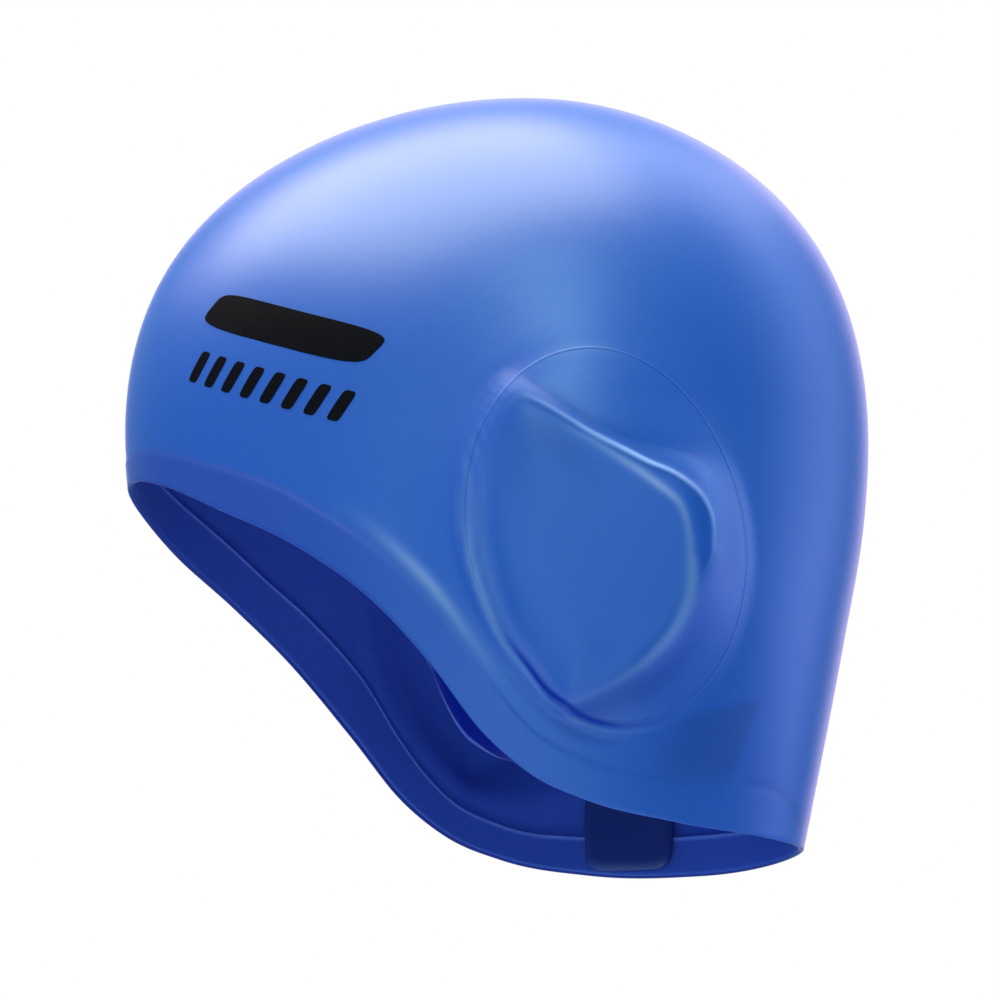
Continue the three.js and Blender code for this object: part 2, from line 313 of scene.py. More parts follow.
# What changes round the face, in degrees from its back (0) over its top (90) to its front (180).
# Lengths are millimetres, and away is the distance outside the face's edge.
roundFace = {
    "direction": [0, 15, 30, 42, 55, 72, 90, 105, 118, 135, 165,
                  195, 225, 245, 258, 266, 275, 288, 305, 325, 345, 360],
    "cornerSoftness": [1.6, 1.6, 1.2, .8, .8, 1.2, 1.4, 1.6, 2.8, 2.2, 1.6,
                       1.6, 1.4, 1.0, .7, .6, .7, 1.0, 1.4, 1.6, 1.6, 1.6],
    # crest of the wall round the face, crease at its foot, and the steep wall's share of the height
    "crest": [6.2, 7.0, 5.8, 5.4, 3.8, 2.6, 1.5, 1.5, 1.0, 1.0, .8,
              .6, .5, .4, .4, .5, .5, .4, .4, .8, 3.2, 6.2],
    "crease": [14, 14.5, 14.8, 14, 10, 6.2, 5.0, 5.2, 6.5, 7.5, 7,
               6, 4, 2.8, 2.2, 3, 4, 4.2, 4.4, 5.4, 10, 14],
    "wallShare": [.75, .78, .8, .8, .82, .85, .8, .62, .38, .32, .3,
                  .3, .35, .4, .4, .42, .5, .52, .52, .55, .66, .75],
    "crestRound": [.5, .4, .4, .4, .4, .4, .5, .8, 1.4, 1.4, 1.6,
                   1.2, .6, .5, .5, .6, .8, .8, .8, .7, .6, .5],
    "creaseRound": [2.5, 2.4, 2.0, 1.4, 1.0, .6, .4, .4, .8, 1.4, 1.6,
                    1.2, .6, .5, .5, .7, 1.0, 1.2, 1.4, 1.8, 2.4, 2.5],
    # how far the face bends in toward its edge
    "edgeDrop": [0, 0, 0, 0, 0, 0, .05, .4, 1.2, 2.2, 2.5, 3.0, 4, 4.8, 5, 4, 2.2, .6, 0, 0, 0, 0],
    # shoulder inside the face's edge, fall from there to the crest, bead on the crest
    "shoulder": [.2, .4, .7, 1.0, 1.1, .9, .5, 0, 0, 0, 0, 0, 0, 0, 0, .1, .2, .3, .6, .8, .5, .2],
    "fall": [1.8, 2.0, 1.6, 1.2, .6, .2, 0, -.4, -.4, 0, 0,
             0, 0, 0, 0, .1, .3, .4, .5, .8, 1.4, 1.8],
    "crestBead": [.3, .4, .45, .5, .5, .5, .45, .25, .05, 0, 0, 0, 0, 0, 0, 0, 0, 0, 0, 0, .1, .3],
    # share of the groove along the foot below the face, how far outside the foot it runs, share of
    # the second one outside it, and height of the low ridge between them
    "groove": [0, 0, 0, 0, 0, 0, 0, 0, 0, 0, 0, 0, .2, .9, 1, 1, 1, .4, 0, 0, 0, 0],
    "grooveOffset": [0, 0, 0, 0, 0, 0, 0, 0, 0, 0, 0, -1, -1, -1.1, .4, .9, .8, .7, .5, 0, 0, 0],
    "secondGroove": [0, 0, 0, 0, 0, 0, 0, 0, 0, 0, 0, 0, 0, .3, .6, .9, .9, 0, 0, 0, 0, 0],
    "footRidge": [0, 0, 0, 0, 0, 0, 0, 0, .1, .3, .5, .6, .5, .3, .2, .2, .2, 0, 0, 0, 0, 0],
    # painted highlight where the wall bends: along the edge (place, width, strength), on the foot line
    # and on the crest
    "highlightAway": [-.2, -.3, -.2, 0, .2, 0, -.2, -1, 0, 2, 3.5,
                 3, 2, .5, 0, 0, .3, .8, 1.0, 1.2, .8, -.2],
    "highlightWidth": [1.3, 1.1, 1.2, 1.4, 1.4, 1.2, 1, .8, .8, 1.5, 1.8,
                  1.6, 1.2, 1, .8, .8, .8, 1.2, 1.6, 2.0, 2.0, 1.3],
    "paintedHighlight": [.7, .8, .9, 1, 1, .8, .5, .1, 0, .1, .3, .4, .35, .35, .3, .2, .2, .6, .95, 1, 1, .85],
    "footHighlight": [0, 0, 0, 0, 0, 0, .2, .2, .15, .25, .6, .9, .6, .25, 0, 0, 0, 0, 0, 0, 0, 0],
    "crestHighlight": [.25, .6, .7, .8, 1, .9, .7, .35, .05, 0, 0, 0, 0, 0, 0, 0, 0, 0, 0, 0, 0, .25],
    # painted shade: between edge and crest, along the crease, in the corner under the crest
    "hollowShadeAway": [4.3, 4.6, 3.9, 3.6, 2.6, 2, 0, 0, 0, -.8, -.8,
                 -.8, -.8, 0, 1, 2, 4.5, 5.5, 6.5, 6, 5, 4.3],
    "hollowShadeWidth": [2.0, 2.4, 2.2, 1.8, 1, 1, 1, 1, 1, 1.5, 1.5,
                  1.5, 1, 1, 1, 1.5, 3, 3.6, 3.6, 3, 2.2, 2.0],
    "shadeInHollow": [.5, .9, .8, .3, .1, 0, 0, 0, 0, .1, .25,
                   .2, .1, 0, 0, .4, .9, 1, .75, .3, .15, .5],
    "shadeInCrease": [0, 0, .15, .45, .5, .6, .65, .5, .1, 0, 0, 0, 0, 0, 0, 0, 0, 0, 0, 0, 0, 0],
    "shadeInCorner": [0, 0, 0, 0, 0, .1, .5, 1, 1, .5, .1, 0, 0, 0, 0, 0, 0, 0, 0, 0, 0, 0],
    # painted shade on the reflection, about the foot line under the upper front corner
    "reflectionShade": [0, 0, 0, 0, 0, 0, 0, .5, .8, .5, 0, 0, 0, 0, 0, 0, 0, 0, 0, 0, 0, 0],
    # share of the painted shade along the fine raised line on the foot
    "footShade": [.5, .7, .9, 1, .9, .6, .2, .1, .2, .6, .4, .1, 0, 0, 0, 0, .5, .4, .2, .2, .3, .5],
}


def readTable(keys, values, at, levelEnd=False):
    # smooth curve through a table: cubic pieces, each row's slope between its neighbours' chords,
    # level at the first row and, when asked, at the last
    keys = np.asarray(keys, float)
    values = np.asarray(values, float)
    span = np.diff(keys)
    chord = np.diff(values) / span
    slope = np.zeros_like(values)
    slope[1:-1] = (chord[:-1] * span[1:] + chord[1:] * span[:-1]) / (span[:-1] + span[1:])
    slope[-1] = 0 if levelEnd else chord[-1]
    i = np.clip(np.searchsorted(keys, at, side="left") - 1, 0, len(span) - 1)
    t = (at - keys[i]) / span[i]
    return ((2 * t**3 - 3 * t**2 + 1) * values[i] + (t**3 - 2 * t**2 + t) * span[i] * slope[i]
            + (3 * t**2 - 2 * t**3) * values[i + 1] + (t**3 - t**2) * span[i] * slope[i + 1])


def smoothStep(x):
    # 0 below 0, 1 above 1, and 3x^2 - 2x^3 between
    x = np.clip(x, 0, 1)
    return x * x * (3 - 2 * x)


def hump(x, width):
    # bell of height 1 at 0: exp(-(x / width)^2)
    return np.exp(-(x / width) ** 2)


def fromForehead(angle):
    # degrees round from the forehead, counted alike on both sides
    return np.degrees(np.abs((angle + np.pi) % (2 * np.pi) - np.pi))


def rimDepth(angle):
    # the rim's depth below the crown, read from its table
    return readTable(headForm["rimAngle"], headForm["rimDepth"], fromForehead(angle), levelEnd=True)


def depthAtRun(run):
    # depth = H (1 - cos(run 90)) down to the widest level, then straight down at the same pace
    height = headForm["crownToWidest"]
    dome = height * (1 - np.cos(np.minimum(run, 1) * np.pi / 2))
    return dome + np.maximum(run - 1, 0) * height * np.pi / 2


def runAtDepth(depth):
    # the same the other way round
    height = headForm["crownToWidest"]
    dome = np.arccos(1 - np.minimum(depth / height, 1)) * 2 / np.pi
    return dome + np.maximum(depth - height, 0) / (height * np.pi / 2)


def headPoint(angle, run):
    # egg-shaped plan at each depth: x = s W sin(angle)(1 - k cos(angle)),
    # y = -s (mean reach cos(angle) + half the difference cos^2(angle)) - shift, with s = sin(run 90)
    # made fuller
    depth = depthAtRun(run)
    onDome = np.minimum(run, 1) * np.pi / 2
    width = np.sin(onDome)
    rise = np.cos(onDome)
    spread = width * (1 + headForm["domeFullness"] * width**2 * rise**2)
    below = np.maximum(depth - headForm["crownToWidest"], 0)
    front = readTable(headForm["below"], headForm["front"], below)
    back = readTable(headForm["below"], headForm["back"], below)
    half = readTable(headForm["below"], headForm["half"], below)
    ahead = np.cos(angle)
    x = spread * half * np.sin(angle) * (1 - headForm["foreheadNarrowing"] * ahead)
    y = -spread * ((front + back) / 2 * ahead + (front - back) / 2 * ahead**2)
    y = y - headForm["widestAheadOfCrown"] * (1 - rise ** headForm["aheadPower"])
    return x, y, shell["wall"] - depth


def pocketPlace(y, z):
    # place on the pocket: back and up from its middle, and the foot's oval radius (1 on the foot line)
    back = y - earPocket["back"]
    up = z - shell["wall"] + earPocket["depth"]
    lean = earPocket["footLean"]
    fromBack = back - earPocket["footBack"]
    fromUp = up - earPocket["footUp"]
    along = fromUp * np.cos(lean) - fromBack * np.sin(lean)
    across = fromBack * np.cos(lean) + fromUp * np.sin(lean)
    oval = np.hypot(along / earPocket["footHalfHeight"], across / earPocket["footHalfWidth"])
    return back, up, oval


def swellAt(back, up):
    # bell over its own oval: (1 - radius^2)^2
    across = (back - earPocket["swellBack"]) / earPocket["swellHalfWidth"]
    along = (up - earPocket["swellUp"]) / earPocket["swellHalfHeight"]
    return np.clip(1 - across**2 - along**2, 0, 1) ** 2


def outsideFace(back, up, soft):
    # soft maximum of the distances to the side arcs: k ln(sum of exp(distance / k))
    largestPower = 60       # exp stays within bounds
    total = 0
    arcs = zip(earPocket["sideBack"], earPocket["sideUp"], earPocket["sideRadius"])
    for sideBack, sideUp, radius in arcs:
        away = np.hypot(back - sideBack, up - sideUp) - radius
        total = total + np.exp(np.clip(away / soft, -largestPower, largestPower))
    return soft * np.log(total)


def ramp(x, start, end, startRound, endRound):
    # 0 before start, 1 after end and straight between, each corner rounded by k ln(1 + exp(x / k))
    def soft(away, k):
        # a rounded corner at 0
        return np.logaddexp(0, away / k) * k
    return (soft(x - start, startRound) - soft(x - end, endRound)) / (end - start)


def readRound(back, up):
    # every row of the table, read at each point's direction from the middle of the face
    turn = np.degrees(np.arctan2(up - earPocket["turnUp"], back - earPocket["turnBack"])) % 360
    return {name: readTable(roundFace["direction"], row, turn)
            for name, row in roundFace.items() if name != "direction"}


def fromFoot(oval):
    # millimetres outside the foot line, by the mean of the oval's half sizes
    return (oval - 1) * (earPocket["footHalfHeight"] + earPocket["footHalfWidth"]) / 2


def pocketReach(plain, y, z, fine):
    # reach = swollen wall + (face - fall - swollen wall) * climb + beads - groove + ridge; the climb is
    # a steep wall from crease to crest for one share, and a gentle slope from the foot for the rest;
    # fine is 1 with beads and grooves and 0 without
    back, up, oval = pocketPlace(y, z)
    at = readRound(back, up)
    swollen = plain + earPocket["swellHeight"] * swellAt(back, up)
    outsideFoot = fromFoot(oval)
    insideFoot = np.maximum(earPocket["footMargin"] - outsideFoot, 0)
    away = outsideFace(back, up, at["cornerSoftness"])
    wall = 1 - ramp(away, at["crest"], at["crease"], at["crestRound"], at["creaseRound"])
    slope = smoothStep(insideFoot / (insideFoot + np.maximum(away - at["crest"], 0) + 0.001))
    climb = at["wallShare"] * np.clip(wall, 0, 1) + (1 - at["wallShare"]) * slope
    whole = smoothStep(insideFoot / earPocket["footFade"])
    climb = climb * whole
    face = (earPocket["faceReach"] + earPocket["faceLean"] * up + earPocket["faceTurn"] * back
            - earPocket["faceDoming"] * (back**2 + up**2))
    bend = earPocket["bendWidth"]
    face = face - at["edgeDrop"] * np.clip((away + bend) / bend, 0, earPocket["bendLimit"]) ** 2
    bevel = ramp(away, earPocket["shoulderFrom"], earPocket["shoulderTo"],
                 earPocket["shoulderRound"], earPocket["shoulderRound"])
    face = face - at["shoulder"] * np.clip(bevel, 0, 1)
    fallEnd = at["crest"] + earPocket["fallPast"]
    fallen = ramp(away, 0, fallEnd, earPocket["fallRound"], at["crestRound"])
    face = face - at["fall"] * np.clip(fallen, 0, 1)
    detail = at["crestBead"] * hump(away - at["crest"], earPocket["beadWidth"]) * whole
    groove = outsideFoot - at["grooveOffset"]
    width = earPocket["grooveWidth"]
    detail = detail - earPocket["grooveDepth"] * at["groove"] * hump(groove, width)
    detail = detail + at["footRidge"] * hump(groove - earPocket["ridgeBeyond"], width)
    second = outsideFoot - earPocket["secondBeyond"]
    detail = detail - earPocket["secondDepth"] * at["secondGroove"] * hump(second, width)
    return swollen + (face - swollen) * climb + detail * fine


def pocketTints(points):
    # soft shares of the painted highlight, of the painted shade and of the painted shade on the
    # reflection, and for each fine line the distance from it and its share
    back, up, oval = pocketPlace(points[:, 1], points[:, 2])
    at = readRound(back, up)
    away = outsideFace(back, up, at["cornerSoftness"])
    outsideFoot = fromFoot(oval)
    onSide = smoothStep(earPocket["tintsEnd"] - outsideFoot)
    onSide = onSide * (np.abs(points[:, 0]) > earPocket["sideFrom"])
    # painted highlight along the edge and on the foot line
    paintedHighlight = at["paintedHighlight"] * hump(away - at["highlightAway"], at["highlightWidth"])
    paintedHighlight = paintedHighlight + at["footHighlight"] * hump(outsideFoot, earPocket["footHighlightWidth"])
    # painted shade in the hollow, in the corner and along the crease
    paintedShade = at["shadeInHollow"] * hump(away - at["hollowShadeAway"], at["hollowShadeWidth"])
    paintedShade = paintedShade + at["shadeInCorner"] * hump(away + earPocket["cornerInside"], earPocket["cornerShade"])
    paintedShade = paintedShade + at["shadeInCrease"] * hump(away - at["crease"], earPocket["creaseShade"])
    reflectionShade = at["reflectionShade"] * hump(outsideFoot, earPocket["reflectionShadeReach"])
    return {"paintedHighlight": onSide * np.clip(paintedHighlight, 0, 1),
            "paintedShade": onSide * np.clip(paintedShade, 0, 1),
            "reflectionShade": onSide * np.clip(reflectionShade, 0, 1),
            "crestAway": away - at["crest"], "crestShows": onSide * at["crestHighlight"],
            "creaseAway": away - at["crease"], "creaseShows": onSide * at["shadeInCrease"],
            "grooveAway": outsideFoot - at["grooveOffset"], "grooveShows": onSide * at["groove"],
            "secondAway": outsideFoot - earPocket["secondBeyond"],
            "secondShows": onSide * at["secondGroove"],
            "footAway": outsideFoot, "footShows": onSide * at["footShade"], "footRaised": onSide}


def nearRim(angle, depth):
    # shares of the soft ridge ahead of the ear and of the fold at the nape, each a bell about its line
    turned = fromForehead(angle)
    aboveRim = rimDepth(angle) - depth
    hem = readTable(shell["outsideAngle"], shell["outsideHeight"], turned, levelEnd=True)
    ridge = hump(aboveRim - hem - cheekRidge["aboveHem"], cheekRidge["width"])
    ridge = ridge * hump(turned - cheekRidge["angle"], cheekRidge["reach"])
    farther = turned - napeFold["angle"]
    oval = np.hypot(farther / napeFold["halfAngle"], aboveRim / napeFold["aboveRim"])
    fold = hump((oval - 1) * napeFold["aboveRim"], napeFold["width"])
    return ridge, fold * smoothStep(farther / napeFold["comesIn"])


def shellPoint(angle, run, fine=1):
    # head form with a pocket pushed out on each side, and the soft shapes near the rim pushed out
    # from the middle; returns points with the last axis x, y, z
    x, y, z = headPoint(angle, run)
    side = np.sign(x)
    reach = pocketReach(np.abs(x), y, z, fine)
    ridge, fold = nearRim(angle, depthAtRun(run))
    out = fine * (cheekRidge["height"] * ridge - napeFold["depth"] * fold)
    x = np.where(side == 0, 0, side * reach) + out * np.sin(angle)
    return np.stack([x, y - out * np.cos(angle), z], axis=-1)


smallStep = 0.002       # in angle and in run, between points that give a slope


def shellNormal(angle, run, fine=1):
    # cross product of the slopes down and round the surface
    around = shellPoint(angle + smallStep, run, fine) - shellPoint(angle - smallStep, run, fine)
    down = shellPoint(angle, run + smallStep, fine) - shellPoint(angle, run - smallStep, fine)
    normal = np.cross(down, around)
    return normal / np.linalg.norm(normal, axis=-1, keepdims=True)


def sunkPoint(angle, run, inward, fine=1):
    # point of the surface less the normal times so many millimetres
    return shellPoint(angle, run, fine) - shellNormal(angle, run, fine) * np.asarray(inward)[..., None]


def innerPoint(angle, run, thickness):
    # the plainer form sunk by the thickness, and deeper behind the pocket
    x, y, z = headPoint(angle, run)
    oval = pocketPlace(y, z)[2]
    behind = smoothStep((shell["pocketWallFrom"] - fromFoot(oval)) / shell["pocketWallOver"])
    behind = behind * (np.abs(x) > earPocket["sideFrom"])
    extra = (shell["pocketWall"] - shell["wall"]) * behind
    return sunkPoint(angle, run, thickness + extra, 0)


pullPad = {
    "angle": math.radians(124),
    "halfWidth": 13.5,
    "halfHeight": 12.5,
    "aboveRim": 1.0,
    "thickness": 2.2,
    "bevel": 2.5,
    "squareness": 6.0,
    "clearance": 0.3,
    "ringPoints": 96,
    # its rings, from the middle of its back to the middle of its front: insets on the back, shares of
    # the thickness up its side, turns round the bevel and insets on the front
    "backInsets": [9, 6, 3, 1, 0.2],
    "sideShares": [0.1, 0.3, 0.45],
    "bevelTurns": [15, 30, 45, 60, 75, 90],
    "frontInsets": [4, 6, 8, 10],
    # how it is laid on the wall: the run where the wall is measured, and the angle each way
    "measuredAt": 1.6,
    "measuredOver": 0.1,
    # where it shows through the wall, in millimetres: how far up and ahead, its half sizes, the
    # slants of its top and of its back edge, and the softness of its sharp and of its faded edges
    "showsUp": 5.0,
    "showsAhead": 7.0,
    "showsHalf": (13.0, 10.5),
    "topSlant": 0.28,
    "backSlant": 0.27,
    "shadowEdge": 3.0,
    "shadowFade": 12.0,
    "edgeShift": 0.5,       # these shares of the softness lie inside those edges
    "fadeShift": 0.25,
}


# meshes from rings of points

def loftRings(name, firstPole, rings, lastPole, values=None):
    # closed skin: pole, rings of equally many points, pole; each ring is joined to the next by quads
    count = rings[0].shape[0]
    places = np.concatenate([[firstPole], np.concatenate(rings), [lastPole]]) * mm
    i = np.arange(count)
    nextI = (i + 1) % count
    ringStart = 1 + np.arange(len(rings) - 1)[:, None] * count
    nextStart = ringStart + count
    quads = np.stack([ringStart + i, nextStart + i, nextStart + nextI, ringStart + nextI], axis=-1)
    quads = quads.reshape(-1, 4)
    topFan = np.stack([np.zeros_like(i), 1 + i, 1 + nextI], axis=-1)
    endStart = 1 + (len(rings) - 1) * count
    endFan = np.stack([np.full_like(i, len(places) - 1), endStart + nextI, endStart + i], axis=-1)
    corners = np.concatenate([topFan.ravel(), quads.ravel(), endFan.ravel()])
    sizes = np.concatenate([np.full(count, 3), np.full(len(quads), 4), np.full(count, 3)])
    mesh = bpy.data.meshes.new(name)
    mesh.vertices.add(len(places))
    mesh.vertices.foreach_set("co", places.astype(np.float32).ravel())
    mesh.loops.add(len(corners))
    mesh.loops.foreach_set("vertex_index", corners.astype(np.int32))
    mesh.polygons.add(len(sizes))
    mesh.polygons.foreach_set("loop_start", (np.cumsum(sizes) - sizes).astype(np.int32))
    mesh.polygons.foreach_set("use_smooth", np.ones(len(sizes), bool))
    mesh.update(calc_edges=True)
    mesh.validate()
    for key, data in (values or {}).items():
        layer = mesh.attributes.new(key, "FLOAT", "POINT")
        layer.data.foreach_set("value", data.astype(np.float32))
    piece = bpy.data.objects.new(name, mesh)
    scene.collection.objects.link(piece)
    return piece


def columnAngles():
    # even angles shifted by k (sin 2(a - ear) + sin 2 ear), which crowds them at the ears
    half = shell["columns"] // 2
    even = np.arange(half + 1) * np.pi / half
    ear = shell["crowdedBehindEar"]
    left = even + shell["columnCrowding"] * (np.sin(2 * (even - ear)) + np.sin(2 * ear))
    return np.concatenate([left, -left[1:-1][::-1]])


def alongWall(step):
    # from one point of the wall to another, so much before and so much behind the pad's middle
    angle = pullPad["angle"]
    run = pullPad["measuredAt"]
    return shellPoint(angle + step, run) - shellPoint(angle - step, run)


def padShadow(points):
    # how much of a pad shows through the wall: the product of smooth steps over its four slanted
    # edges, sharper at its top and back
    x, y, z = points.T
    angle = pullPad["angle"]
    up = pullPad["aboveRim"] + pullPad["halfHeight"] + pullPad["showsUp"]
    middle = shellPoint(angle, runAtDepth(rimDepth(angle) - up))
    across = alongWall(pullPad["measuredOver"])[:2]
    across = across / np.linalg.norm(across)
    offBack = (np.abs(x) - middle[0]) * across[0] + (y - middle[1]) * across[1] + pullPad["showsAhead"]
    offUp = z - middle[2]
    halfBack, halfUp = pullPad["showsHalf"]
    soft = pullPad["shadowEdge"]
    fade = pullPad["shadowFade"]
    edge = pullPad["edgeShift"]
    faded = pullPad["fadeShift"]
    leaning = pullPad["backSlant"] * offUp
    backEdge = smoothStep((halfBack - offBack + leaning) / soft + edge)
    topEdge = smoothStep((halfUp - offUp + pullPad["topSlant"] * offBack) / soft + edge)
    frontEdge = smoothStep((halfBack + offBack - leaning) / fade + faded)
    lowEdge = smoothStep((halfUp + offUp) / fade + faded)
    return backEdge * topEdge * frontEdge * lowEdge * (y > 0)


def rowShares(domeRows, pocketRows):
    # rows from the crown to the hem, closer together from pocketFrom on
    start = shell["pocketFrom"]
    return np.concatenate([np.arange(1, domeRows) / domeRows * start,
                           np.linspace(start, 1, pocketRows)])


def hemRows(height):
    # how far each row lies under the hem's upper edge: close ones first, then even ones to the rim
    close = shell["hemDown"]
    even = np.linspace(0, 1, shell["hemRows"] + 1)[1:]
    return [down + 0 * height for down in close] + [
        close[-1] + share * (height - close[-1]) for share in even]


def makeShell():
    # outer rows from the crown to the rim, a round lip, and inner rows back to the crown
    angle = columnAngles()
    flat = np.ones_like(angle)
    turned = fromForehead(angle)
    rim = rimDepth(angle)
    outside = {name: readTable(shell["outsideAngle"], shell["outside" + name], turned, levelEnd=True)
               for name in ("Height", "Proud", "Tone")}
    insideHeight = readTable(shell["insideAngle"], shell["insideHeight"], turned, levelEnd=True)
    tuck = np.interp(turned, shell["tuckAngle"], shell["tuckDown"]) * (np.sin(angle) > 0)
    tucked = tuck / max(shell["tuckDown"])
    rings = []
    hemTone = []
    lineHighlight = []
    tuckShade = []

    def add(ring, tone=0, line=0, under=0):
        # one more ring, with its shares of the hem's tone, of the painted highlight line and of the
        # tuck's painted shade
        rings.append(ring)
        hemTone.append(tone * flat)
        lineHighlight.append(line * flat)
        tuckShade.append(under * flat)

    # outer skin
    runTop = runAtDepth(rim - outside["Height"])
    for share in rowShares(shell["domeRows"], shell["pocketRows"]):
        add(shellPoint(angle, share * runTop))
    for down in hemRows(outside["Height"]):
        proud = outside["Proud"] * smoothStep(down / shell["outsideStep"])
        add(sunkPoint(angle, runAtDepth(rim - outside["Height"] + down), -proud),
            tone=outside["Tone"] * smoothStep(down / shell["toneStep"]))
    outerRings = len(rings)
    outerEdge = rings[-1]

    # inner skin, worked out from the crown down and added from the rim up
    inner = []
    runTop = runAtDepth(rim - insideHeight)
    for share in rowShares(shell["innerDomeRows"], shell["innerPocketRows"]):
        inner.append((innerPoint(angle, share * runTop, shell["wall"]), 0, 0))
    for down in hemRows(insideHeight):
        bead = hump(down - shell["insideStep"], shell["beadWidth"])
        thick = shell["hemInside"] * smoothStep(down / shell["insideStep"]) + shell["insideBead"] * bead
        toRim = smoothStep(down / insideHeight)
        ring = innerPoint(angle, runAtDepth(rim - insideHeight + down),
                          shell["wall"] + thick + shell["tuckInward"] * tucked * toRim)
        ring[:, 2] -= tuck * toRim
        # the bead's share sets its painted highlight line, and the tuck's share sets its painted shade
        inner.append((ring, bead, tucked * toRim))
    innerEdge = inner[-1][0]

    # lip
    middle = (outerEdge + innerEdge) / 2
    for degrees in shell["lipTurns"]:
        turn = np.radians(degrees)
        ring = middle + (outerEdge - middle) * np.cos(turn)
        ring[:, 2] -= shell["rimRounding"] * np.sin(turn)
        line = shell["tuckHighlight"] * np.minimum(2 * tucked, 1) * (degrees >= shell["highlightFrom"])
        under = np.where(tucked > 0, 1, shell["lipShade"] * (degrees >= shell["shadeFrom"]))
        add(ring, tone=outside["Tone"], line=line, under=under)
    for ring, line, under in inner[::-1]:
        add(ring, line=line, under=under)
    crown = np.array([0, 0, shell["wall"]])
    hollowTop = np.zeros(3)
    points = np.concatenate([[crown], np.concatenate(rings), [hollowTop]])
    isOuter = np.arange(len(points)) < 1 + len(angle) * (outerRings + 1)

    def whole(rows):
        # one value for every point, 0 at both poles
        return np.concatenate([[0], np.concatenate(rows), [0]])
    angles = whole([angle] * len(rings))
    ridge, fold = nearRim(angles, shell["wall"] - points[:, 2])
    values = pocketTints(points)
    # painted highlight along the cheek ridge, and painted shade in the nape fold
    values["paintedHighlight"] = np.clip(values["paintedHighlight"] + cheekRidge["highlightShare"] * ridge, 0, 1)
    values["paintedShade"] = np.clip(values["paintedShade"] + napeFold["foldShade"] * fold, 0, 1)
    for name in list(values):
        if not name.endswith("Away"):
            values[name] = values[name] * isOuter
    values["inside"] = 1.0 - isOuter
    values["padBehind"] = padShadow(points) * isOuter
    values["hemTone"] = whole(hemTone)
    values["lineHighlight"] = whole(lineHighlight)
    values["tucked"] = whole(tuckShade)
    return loftRings("silicone_shell", crown, rings, hollowTop, values)


# pull pads

def padPoint(side, across, up, inward):
    # across and up on the pad, laid on the shell as an angle and a depth, sunk inward
    radius = np.linalg.norm(alongWall(smallStep)) / (2 * smallStep)
    depth = rimDepth(pullPad["angle"]) - pullPad["aboveRim"] - pullPad["halfHeight"] - up
    return sunkPoint(side * (pullPad["angle"] + across / radius), runAtDepth(depth), inward)


def squarish(turn, halfWidth, halfHeight, squareness):
    # superellipse: half size times sign(cos) |cos|^(2/n), and the same with the sine
    power = 2 / squareness
    across = halfWidth * np.sign(np.cos(turn)) * np.abs(np.cos(turn)) ** power
    up = halfHeight * np.sign(np.sin(turn)) * np.abs(np.sin(turn)) ** power
    return across, up


def padRing(side, inset, inward):
    # the pad's outline moved in by the inset, at so many millimetres from the outer skin
    turn = side * np.arange(pullPad["ringPoints"]) / pullPad["ringPoints"] * 2 * np.pi
    across, up = squarish(turn, pullPad["halfWidth"] - inset, pullPad["halfHeight"] - inset,
                          pullPad["squareness"])
    return padPoint(side, across, up, np.full_like(turn, inward))


def makePad(side, name):
    # flat back, straight side and a bevel that is a quarter of an ellipse, up to the flat front
    back = shell["wall"] + shell["hemInside"] + pullPad["clearance"]
    front = back + pullPad["thickness"]
    straight = pullPad["sideShares"][-1]
    rings = [padRing(side, inset, back) for inset in pullPad["backInsets"]]
    for share in pullPad["sideShares"]:
        rings.append(padRing(side, 0, back + pullPad["thickness"] * share))
    for turn in np.radians(pullPad["bevelTurns"]):
        inset = pullPad["bevel"] * (1 - np.cos(turn))
        share = straight + (1 - straight) * np.sin(turn)
        rings.append(padRing(side, inset, back + pullPad["thickness"] * share))
    rings += [padRing(side, inset, front) for inset in pullPad["frontInsets"]]
    return loftRings(name, padPoint(side, 0, 0, back), rings, padPoint(side, 0, 0, front))


# print on the side, in its usual place above the brow rim

sidePrint = {
    "angle": math.radians(46.5),
    "run": 0.927,
    "slope": math.radians(-18),     # how far the row falls toward the back
    "proud": 0.12,                  # thickness outside the wall and inside it
    "buried": 0.03,
    "barMiddle": (0.0, 8.0),        # across and up, in millimetres
    "barHalf": (27.0, 5.2),
    "barSlant": 0.45,
    "dashes": 8,
    "dashStep": 6.6,
    "dashMiddle": -8.2,
    "dashHalf": (1.7, 4.4),
    "dashSlant": 0.3,
    "corner": 5.0,                  # the higher, the squarer the ends
    "edgeBand": 0.985,              # the top is flat as far as this share of its outline
    "ringPoints": 120,
    "rings": 12,
}


def printPoint(across, up, inward):
    # across and up in millimetres, turned by the slope and laid on the shell as an angle and a run
    angle = sidePrint["angle"]
    run = sidePrint["run"]
    middle = shellPoint(angle, run)
    wide = np.linalg.norm(shellPoint(angle + smallStep, run) - middle)
    tall = np.linalg.norm(shellPoint(angle, run + smallStep) - middle)
    level = math.cos(sidePrint["slope"])
    rise = math.sin(sidePrint["slope"])
    around = (across * level - up * rise) * smallStep / wide
    down = -(across * rise + up * level) * smallStep / tall
    return sunkPoint(angle + around, run + down, inward)


